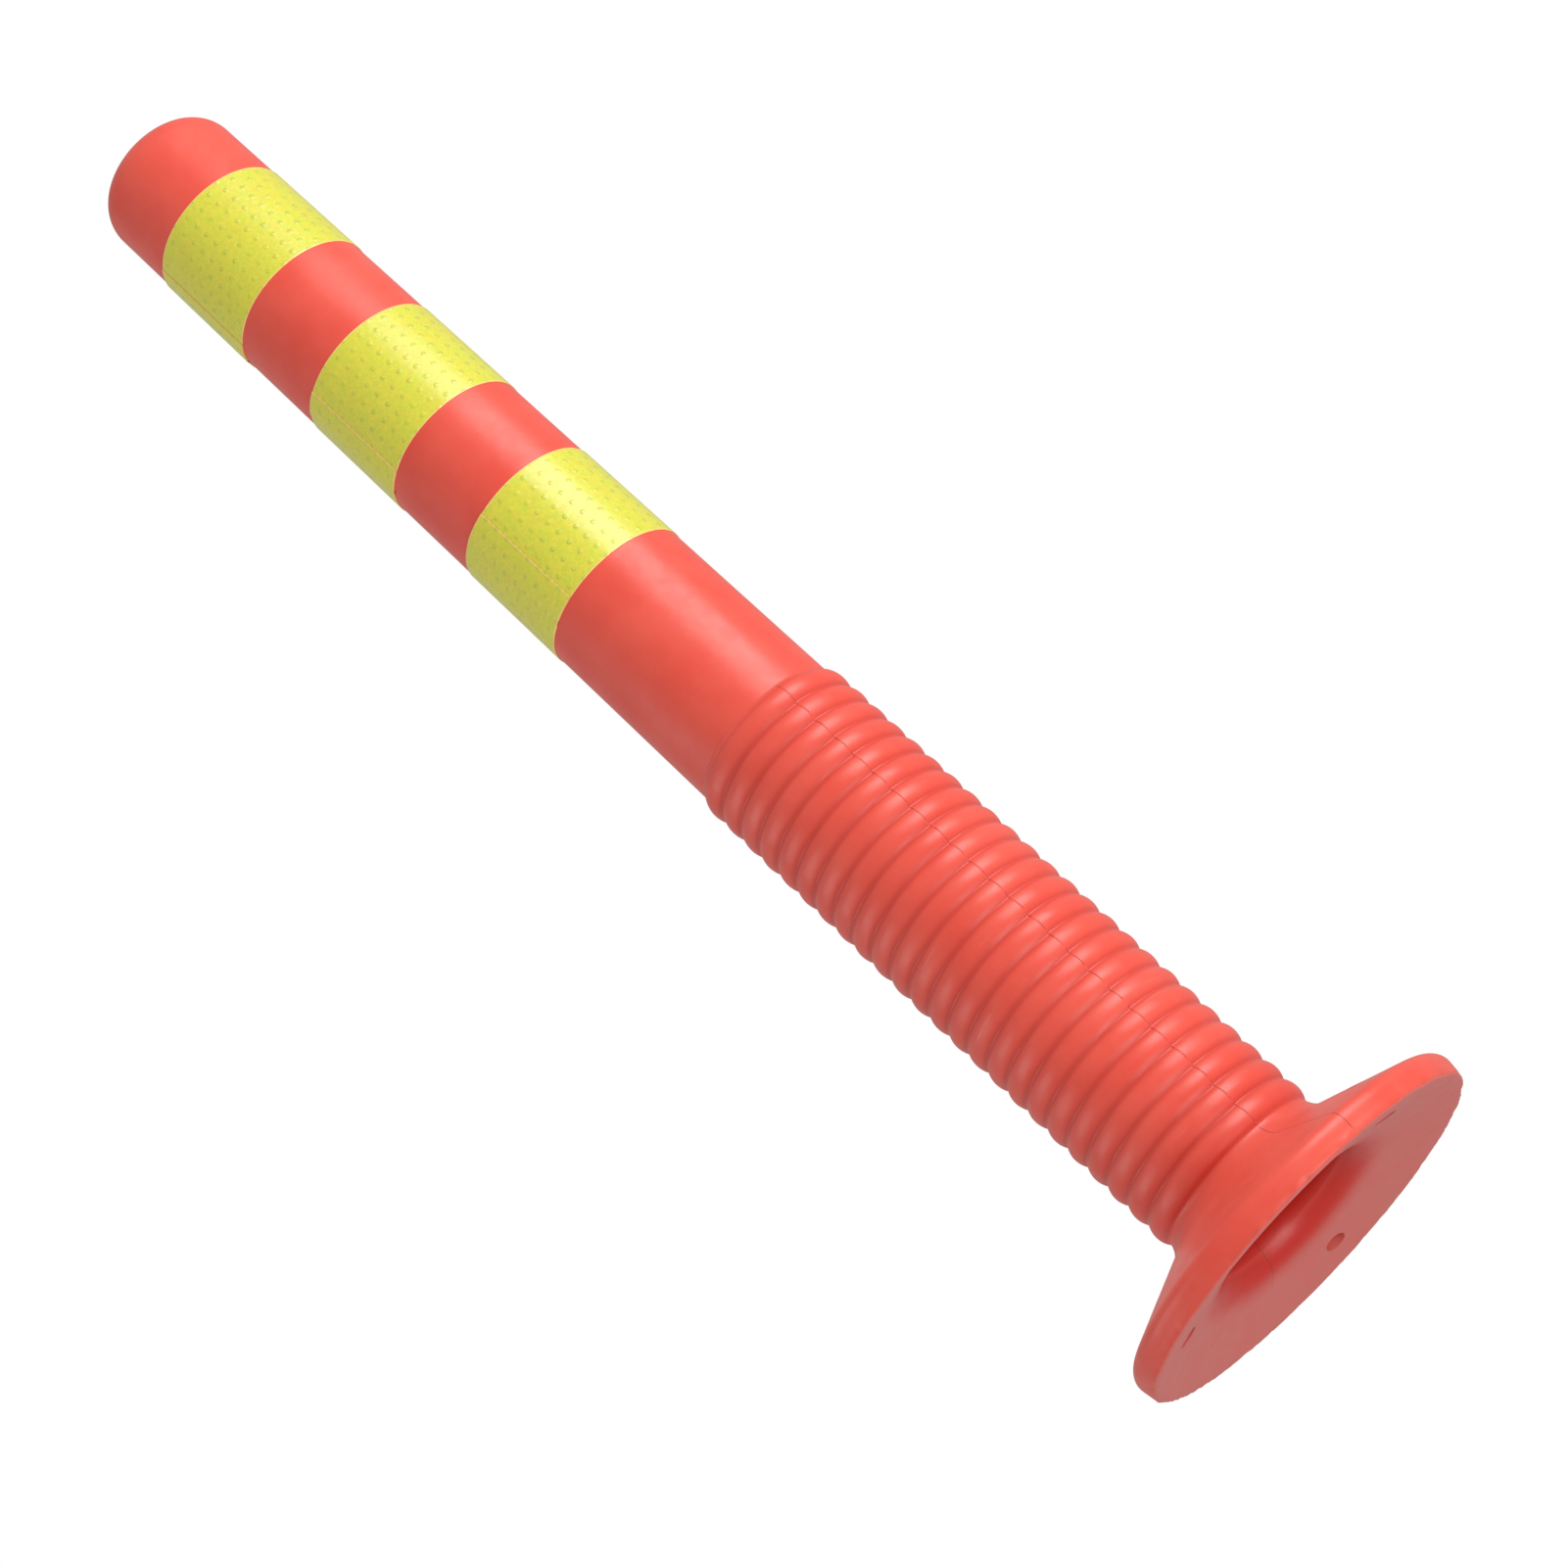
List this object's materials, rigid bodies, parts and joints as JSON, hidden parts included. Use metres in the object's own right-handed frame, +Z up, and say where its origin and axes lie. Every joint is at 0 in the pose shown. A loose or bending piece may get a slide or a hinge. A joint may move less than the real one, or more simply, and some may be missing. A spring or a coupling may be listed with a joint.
{
  "type": "delineator post",
  "caption": "Flexible traffic delineator post with a round bolt-down foot, a corrugated bending section and reflective bands round its upper tube.",
  "frame": {"origin": "centre of the foot's underside, on the road surface", "axes": "+Z up along the post, from the foot to the domed top; +X at an angle of 35.5 degrees to the first anchor hole; -Y towards the side where the tapes' seams are"},
  "size_m": [0.1794, 0.1793, 0.75],
  "materials": {
    "moulding": "satin fluorescent orange-red flexible moulding",
    "tape": "micro-prismatic fluorescent yellow-green reflective tape"
  },
  "bodies": {
    "foot": {"foot": "moulding"},
    "groove_01": {"groove_01": "moulding"},
    "rib_01": {"rib_01": "moulding"},
    "groove_02": {"groove_02": "moulding"},
    "rib_02": {"rib_02": "moulding"},
    "groove_03": {"groove_03": "moulding"},
    "rib_03": {"rib_03": "moulding"},
    "groove_04": {"groove_04": "moulding"},
    "rib_04": {"rib_04": "moulding"},
    "groove_05": {"groove_05": "moulding"},
    "rib_05": {"rib_05": "moulding"},
    "groove_06": {"groove_06": "moulding"},
    "rib_06": {"rib_06": "moulding"},
    "groove_07": {"groove_07": "moulding"},
    "rib_07": {"rib_07": "moulding"},
    "groove_08": {"groove_08": "moulding"},
    "rib_08": {"rib_08": "moulding"},
    "groove_09": {"groove_09": "moulding"},
    "rib_09": {"rib_09": "moulding"},
    "groove_10": {"groove_10": "moulding"},
    "rib_10": {"rib_10": "moulding"},
    "groove_11": {"groove_11": "moulding"},
    "rib_11": {"rib_11": "moulding"},
    "groove_12": {"groove_12": "moulding"},
    "rib_12": {"rib_12": "moulding"},
    "groove_13": {"groove_13": "moulding"},
    "rib_13": {"rib_13": "moulding"},
    "groove_14": {"groove_14": "moulding"},
    "rib_14": {"rib_14": "moulding"},
    "groove_15": {"groove_15": "moulding"},
    "rib_15": {"rib_15": "moulding"},
    "groove_16": {"groove_16": "moulding"},
    "rib_16": {"rib_16": "moulding"},
    "groove_17": {"groove_17": "moulding"},
    "rib_17": {"rib_17": "moulding"},
    "groove_18": {"groove_18": "moulding"},
    "rib_18": {"rib_18": "moulding"},
    "groove_19": {"groove_19": "moulding"},
    "rib_19": {"rib_19": "moulding"},
    "groove_20": {"groove_20": "moulding"},
    "rib_20": {"rib_20": "moulding"},
    "groove_21": {"groove_21": "moulding"},
    "rib_21": {"rib_21": "moulding"},
    "groove_22": {"groove_22": "moulding"},
    "rib_22": {"rib_22": "moulding"},
    "groove_23": {"groove_23": "moulding"},
    "rib_23": {"rib_23": "moulding"},
    "groove_24": {"groove_24": "moulding"},
    "rib_24": {"rib_24": "moulding"},
    "groove_25": {"groove_25": "moulding"},
    "tube": {"tube": "moulding", "tape_lower": "tape", "tape_middle": "tape", "tape_upper": "tape"}
  },
  "joints": [
    {"name": "bend_x", "type": "hinge", "parent": "foot", "child": "groove_01", "pos_m": [0, 0, 0.04005], "axis": [0, 1, 0], "range_deg": [-3, 3], "stiffness_Nm_per_rad": 150, "deforming": ["groove_01"]},
    {"name": "bend_y", "type": "hinge", "parent": "groove_01", "child": "rib_01", "pos_m": [0, 0, 0.04005], "axis": [-1, 0, 0], "range_deg": [-3, 3], "stiffness_Nm_per_rad": 150, "deforming": ["groove_01"]},
    {"name": "bend_x_02", "type": "hinge", "parent": "rib_01", "child": "groove_02", "pos_m": [0, 0, 0.05155], "axis": [0, 1, 0], "range_deg": [-3, 3], "stiffness_Nm_per_rad": 150, "deforming": ["groove_02"]},
    {"name": "bend_y_02", "type": "hinge", "parent": "groove_02", "child": "rib_02", "pos_m": [0, 0, 0.05155], "axis": [-1, 0, 0], "range_deg": [-3, 3], "stiffness_Nm_per_rad": 150, "deforming": ["groove_02"]},
    {"name": "bend_x_03", "type": "hinge", "parent": "rib_02", "child": "groove_03", "pos_m": [0, 0, 0.06305], "axis": [0, 1, 0], "range_deg": [-3, 3], "stiffness_Nm_per_rad": 150, "deforming": ["groove_03"]},
    {"name": "bend_y_03", "type": "hinge", "parent": "groove_03", "child": "rib_03", "pos_m": [0, 0, 0.06305], "axis": [-1, 0, 0], "range_deg": [-3, 3], "stiffness_Nm_per_rad": 150, "deforming": ["groove_03"]},
    {"name": "bend_x_04", "type": "hinge", "parent": "rib_03", "child": "groove_04", "pos_m": [0, 0, 0.07455], "axis": [0, 1, 0], "range_deg": [-3, 3], "stiffness_Nm_per_rad": 150, "deforming": ["groove_04"]},
    {"name": "bend_y_04", "type": "hinge", "parent": "groove_04", "child": "rib_04", "pos_m": [0, 0, 0.07455], "axis": [-1, 0, 0], "range_deg": [-3, 3], "stiffness_Nm_per_rad": 150, "deforming": ["groove_04"]},
    {"name": "bend_x_05", "type": "hinge", "parent": "rib_04", "child": "groove_05", "pos_m": [0, 0, 0.08605], "axis": [0, 1, 0], "range_deg": [-3, 3], "stiffness_Nm_per_rad": 150, "deforming": ["groove_05"]},
    {"name": "bend_y_05", "type": "hinge", "parent": "groove_05", "child": "rib_05", "pos_m": [0, 0, 0.08605], "axis": [-1, 0, 0], "range_deg": [-3, 3], "stiffness_Nm_per_rad": 150, "deforming": ["groove_05"]},
    {"name": "bend_x_06", "type": "hinge", "parent": "rib_05", "child": "groove_06", "pos_m": [0, 0, 0.09755], "axis": [0, 1, 0], "range_deg": [-3, 3], "stiffness_Nm_per_rad": 150, "deforming": ["groove_06"]},
    {"name": "bend_y_06", "type": "hinge", "parent": "groove_06", "child": "rib_06", "pos_m": [0, 0, 0.09755], "axis": [-1, 0, 0], "range_deg": [-3, 3], "stiffness_Nm_per_rad": 150, "deforming": ["groove_06"]},
    {"name": "bend_x_07", "type": "hinge", "parent": "rib_06", "child": "groove_07", "pos_m": [0, 0, 0.10905], "axis": [0, 1, 0], "range_deg": [-3, 3], "stiffness_Nm_per_rad": 150, "deforming": ["groove_07"]},
    {"name": "bend_y_07", "type": "hinge", "parent": "groove_07", "child": "rib_07", "pos_m": [0, 0, 0.10905], "axis": [-1, 0, 0], "range_deg": [-3, 3], "stiffness_Nm_per_rad": 150, "deforming": ["groove_07"]},
    {"name": "bend_x_08", "type": "hinge", "parent": "rib_07", "child": "groove_08", "pos_m": [0, 0, 0.12055], "axis": [0, 1, 0], "range_deg": [-3, 3], "stiffness_Nm_per_rad": 150, "deforming": ["groove_08"]},
    {"name": "bend_y_08", "type": "hinge", "parent": "groove_08", "child": "rib_08", "pos_m": [0, 0, 0.12055], "axis": [-1, 0, 0], "range_deg": [-3, 3], "stiffness_Nm_per_rad": 150, "deforming": ["groove_08"]},
    {"name": "bend_x_09", "type": "hinge", "parent": "rib_08", "child": "groove_09", "pos_m": [0, 0, 0.13205], "axis": [0, 1, 0], "range_deg": [-3, 3], "stiffness_Nm_per_rad": 150, "deforming": ["groove_09"]},
    {"name": "bend_y_09", "type": "hinge", "parent": "groove_09", "child": "rib_09", "pos_m": [0, 0, 0.13205], "axis": [-1, 0, 0], "range_deg": [-3, 3], "stiffness_Nm_per_rad": 150, "deforming": ["groove_09"]},
    {"name": "bend_x_10", "type": "hinge", "parent": "rib_09", "child": "groove_10", "pos_m": [0, 0, 0.14355], "axis": [0, 1, 0], "range_deg": [-3, 3], "stiffness_Nm_per_rad": 150, "deforming": ["groove_10"]},
    {"name": "bend_y_10", "type": "hinge", "parent": "groove_10", "child": "rib_10", "pos_m": [0, 0, 0.14355], "axis": [-1, 0, 0], "range_deg": [-3, 3], "stiffness_Nm_per_rad": 150, "deforming": ["groove_10"]},
    {"name": "bend_x_11", "type": "hinge", "parent": "rib_10", "child": "groove_11", "pos_m": [0, 0, 0.15505], "axis": [0, 1, 0], "range_deg": [-3, 3], "stiffness_Nm_per_rad": 150, "deforming": ["groove_11"]},
    {"name": "bend_y_11", "type": "hinge", "parent": "groove_11", "child": "rib_11", "pos_m": [0, 0, 0.15505], "axis": [-1, 0, 0], "range_deg": [-3, 3], "stiffness_Nm_per_rad": 150, "deforming": ["groove_11"]},
    {"name": "bend_x_12", "type": "hinge", "parent": "rib_11", "child": "groove_12", "pos_m": [0, 0, 0.16655], "axis": [0, 1, 0], "range_deg": [-3, 3], "stiffness_Nm_per_rad": 150, "deforming": ["groove_12"]},
    {"name": "bend_y_12", "type": "hinge", "parent": "groove_12", "child": "rib_12", "pos_m": [0, 0, 0.16655], "axis": [-1, 0, 0], "range_deg": [-3, 3], "stiffness_Nm_per_rad": 150, "deforming": ["groove_12"]},
    {"name": "bend_x_13", "type": "hinge", "parent": "rib_12", "child": "groove_13", "pos_m": [0, 0, 0.17805], "axis": [0, 1, 0], "range_deg": [-3, 3], "stiffness_Nm_per_rad": 150, "deforming": ["groove_13"]},
    {"name": "bend_y_13", "type": "hinge", "parent": "groove_13", "child": "rib_13", "pos_m": [0, 0, 0.17805], "axis": [-1, 0, 0], "range_deg": [-3, 3], "stiffness_Nm_per_rad": 150, "deforming": ["groove_13"]},
    {"name": "bend_x_14", "type": "hinge", "parent": "rib_13", "child": "groove_14", "pos_m": [0, 0, 0.18955], "axis": [0, 1, 0], "range_deg": [-3, 3], "stiffness_Nm_per_rad": 150, "deforming": ["groove_14"]},
    {"name": "bend_y_14", "type": "hinge", "parent": "groove_14", "child": "rib_14", "pos_m": [0, 0, 0.18955], "axis": [-1, 0, 0], "range_deg": [-3, 3], "stiffness_Nm_per_rad": 150, "deforming": ["groove_14"]},
    {"name": "bend_x_15", "type": "hinge", "parent": "rib_14", "child": "groove_15", "pos_m": [0, 0, 0.20105], "axis": [0, 1, 0], "range_deg": [-3, 3], "stiffness_Nm_per_rad": 150, "deforming": ["groove_15"]},
    {"name": "bend_y_15", "type": "hinge", "parent": "groove_15", "child": "rib_15", "pos_m": [0, 0, 0.20105], "axis": [-1, 0, 0], "range_deg": [-3, 3], "stiffness_Nm_per_rad": 150, "deforming": ["groove_15"]},
    {"name": "bend_x_16", "type": "hinge", "parent": "rib_15", "child": "groove_16", "pos_m": [0, 0, 0.21255], "axis": [0, 1, 0], "range_deg": [-3, 3], "stiffness_Nm_per_rad": 150, "deforming": ["groove_16"]},
    {"name": "bend_y_16", "type": "hinge", "parent": "groove_16", "child": "rib_16", "pos_m": [0, 0, 0.21255], "axis": [-1, 0, 0], "range_deg": [-3, 3], "stiffness_Nm_per_rad": 150, "deforming": ["groove_16"]},
    {"name": "bend_x_17", "type": "hinge", "parent": "rib_16", "child": "groove_17", "pos_m": [0, 0, 0.22405], "axis": [0, 1, 0], "range_deg": [-3, 3], "stiffness_Nm_per_rad": 150, "deforming": ["groove_17"]},
    {"name": "bend_y_17", "type": "hinge", "parent": "groove_17", "child": "rib_17", "pos_m": [0, 0, 0.22405], "axis": [-1, 0, 0], "range_deg": [-3, 3], "stiffness_Nm_per_rad": 150, "deforming": ["groove_17"]},
    {"name": "bend_x_18", "type": "hinge", "parent": "rib_17", "child": "groove_18", "pos_m": [0, 0, 0.23555], "axis": [0, 1, 0], "range_deg": [-3, 3], "stiffness_Nm_per_rad": 150, "deforming": ["groove_18"]},
    {"name": "bend_y_18", "type": "hinge", "parent": "groove_18", "child": "rib_18", "pos_m": [0, 0, 0.23555], "axis": [-1, 0, 0], "range_deg": [-3, 3], "stiffness_Nm_per_rad": 150, "deforming": ["groove_18"]},
    {"name": "bend_x_19", "type": "hinge", "parent": "rib_18", "child": "groove_19", "pos_m": [0, 0, 0.24705], "axis": [0, 1, 0], "range_deg": [-3, 3], "stiffness_Nm_per_rad": 150, "deforming": ["groove_19"]},
    {"name": "bend_y_19", "type": "hinge", "parent": "groove_19", "child": "rib_19", "pos_m": [0, 0, 0.24705], "axis": [-1, 0, 0], "range_deg": [-3, 3], "stiffness_Nm_per_rad": 150, "deforming": ["groove_19"]},
    {"name": "bend_x_20", "type": "hinge", "parent": "rib_19", "child": "groove_20", "pos_m": [0, 0, 0.25855], "axis": [0, 1, 0], "range_deg": [-3, 3], "stiffness_Nm_per_rad": 150, "deforming": ["groove_20"]},
    {"name": "bend_y_20", "type": "hinge", "parent": "groove_20", "child": "rib_20", "pos_m": [0, 0, 0.25855], "axis": [-1, 0, 0], "range_deg": [-3, 3], "stiffness_Nm_per_rad": 150, "deforming": ["groove_20"]},
    {"name": "bend_x_21", "type": "hinge", "parent": "rib_20", "child": "groove_21", "pos_m": [0, 0, 0.27005], "axis": [0, 1, 0], "range_deg": [-3, 3], "stiffness_Nm_per_rad": 150, "deforming": ["groove_21"]},
    {"name": "bend_y_21", "type": "hinge", "parent": "groove_21", "child": "rib_21", "pos_m": [0, 0, 0.27005], "axis": [-1, 0, 0], "range_deg": [-3, 3], "stiffness_Nm_per_rad": 150, "deforming": ["groove_21"]},
    {"name": "bend_x_22", "type": "hinge", "parent": "rib_21", "child": "groove_22", "pos_m": [0, 0, 0.28155], "axis": [0, 1, 0], "range_deg": [-3, 3], "stiffness_Nm_per_rad": 150, "deforming": ["groove_22"]},
    {"name": "bend_y_22", "type": "hinge", "parent": "groove_22", "child": "rib_22", "pos_m": [0, 0, 0.28155], "axis": [-1, 0, 0], "range_deg": [-3, 3], "stiffness_Nm_per_rad": 150, "deforming": ["groove_22"]},
    {"name": "bend_x_23", "type": "hinge", "parent": "rib_22", "child": "groove_23", "pos_m": [0, 0, 0.29305], "axis": [0, 1, 0], "range_deg": [-3, 3], "stiffness_Nm_per_rad": 150, "deforming": ["groove_23"]},
    {"name": "bend_y_23", "type": "hinge", "parent": "groove_23", "child": "rib_23", "pos_m": [0, 0, 0.29305], "axis": [-1, 0, 0], "range_deg": [-3, 3], "stiffness_Nm_per_rad": 150, "deforming": ["groove_23"]},
    {"name": "bend_x_24", "type": "hinge", "parent": "rib_23", "child": "groove_24", "pos_m": [0, 0, 0.30455], "axis": [0, 1, 0], "range_deg": [-3, 3], "stiffness_Nm_per_rad": 150, "deforming": ["groove_24"]},
    {"name": "bend_y_24", "type": "hinge", "parent": "groove_24", "child": "rib_24", "pos_m": [0, 0, 0.30455], "axis": [-1, 0, 0], "range_deg": [-3, 3], "stiffness_Nm_per_rad": 150, "deforming": ["groove_24"]},
    {"name": "bend_x_25", "type": "hinge", "parent": "rib_24", "child": "groove_25", "pos_m": [0, 0, 0.31605], "axis": [0, 1, 0], "range_deg": [-3, 3], "stiffness_Nm_per_rad": 150, "deforming": ["groove_25"]},
    {"name": "bend_y_25", "type": "hinge", "parent": "groove_25", "child": "tube", "pos_m": [0, 0, 0.31605], "axis": [-1, 0, 0], "range_deg": [-3, 3], "stiffness_Nm_per_rad": 150, "deforming": ["groove_25"]}
  ],
  "couplings": [
    {"joint": "bend_x_02", "follows": "bend_x", "ratio": 1},
    {"joint": "bend_y_02", "follows": "bend_y", "ratio": 1},
    {"joint": "bend_x_03", "follows": "bend_x", "ratio": 1},
    {"joint": "bend_y_03", "follows": "bend_y", "ratio": 1},
    {"joint": "bend_x_04", "follows": "bend_x", "ratio": 1},
    {"joint": "bend_y_04", "follows": "bend_y", "ratio": 1},
    {"joint": "bend_x_05", "follows": "bend_x", "ratio": 1},
    {"joint": "bend_y_05", "follows": "bend_y", "ratio": 1},
    {"joint": "bend_x_06", "follows": "bend_x", "ratio": 1},
    {"joint": "bend_y_06", "follows": "bend_y", "ratio": 1},
    {"joint": "bend_x_07", "follows": "bend_x", "ratio": 1},
    {"joint": "bend_y_07", "follows": "bend_y", "ratio": 1},
    {"joint": "bend_x_08", "follows": "bend_x", "ratio": 1},
    {"joint": "bend_y_08", "follows": "bend_y", "ratio": 1},
    {"joint": "bend_x_09", "follows": "bend_x", "ratio": 1},
    {"joint": "bend_y_09", "follows": "bend_y", "ratio": 1},
    {"joint": "bend_x_10", "follows": "bend_x", "ratio": 1},
    {"joint": "bend_y_10", "follows": "bend_y", "ratio": 1},
    {"joint": "bend_x_11", "follows": "bend_x", "ratio": 1},
    {"joint": "bend_y_11", "follows": "bend_y", "ratio": 1},
    {"joint": "bend_x_12", "follows": "bend_x", "ratio": 1},
    {"joint": "bend_y_12", "follows": "bend_y", "ratio": 1},
    {"joint": "bend_x_13", "follows": "bend_x", "ratio": 1},
    {"joint": "bend_y_13", "follows": "bend_y", "ratio": 1},
    {"joint": "bend_x_14", "follows": "bend_x", "ratio": 1},
    {"joint": "bend_y_14", "follows": "bend_y", "ratio": 1},
    {"joint": "bend_x_15", "follows": "bend_x", "ratio": 1},
    {"joint": "bend_y_15", "follows": "bend_y", "ratio": 1},
    {"joint": "bend_x_16", "follows": "bend_x", "ratio": 1},
    {"joint": "bend_y_16", "follows": "bend_y", "ratio": 1},
    {"joint": "bend_x_17", "follows": "bend_x", "ratio": 1},
    {"joint": "bend_y_17", "follows": "bend_y", "ratio": 1},
    {"joint": "bend_x_18", "follows": "bend_x", "ratio": 1},
    {"joint": "bend_y_18", "follows": "bend_y", "ratio": 1},
    {"joint": "bend_x_19", "follows": "bend_x", "ratio": 1},
    {"joint": "bend_y_19", "follows": "bend_y", "ratio": 1},
    {"joint": "bend_x_20", "follows": "bend_x", "ratio": 1},
    {"joint": "bend_y_20", "follows": "bend_y", "ratio": 1},
    {"joint": "bend_x_21", "follows": "bend_x", "ratio": 1},
    {"joint": "bend_y_21", "follows": "bend_y", "ratio": 1},
    {"joint": "bend_x_22", "follows": "bend_x", "ratio": 1},
    {"joint": "bend_y_22", "follows": "bend_y", "ratio": 1},
    {"joint": "bend_x_23", "follows": "bend_x", "ratio": 1},
    {"joint": "bend_y_23", "follows": "bend_y", "ratio": 1},
    {"joint": "bend_x_24", "follows": "bend_x", "ratio": 1},
    {"joint": "bend_y_24", "follows": "bend_y", "ratio": 1},
    {"joint": "bend_x_25", "follows": "bend_x", "ratio": 1},
    {"joint": "bend_y_25", "follows": "bend_y", "ratio": 1}
  ]
}
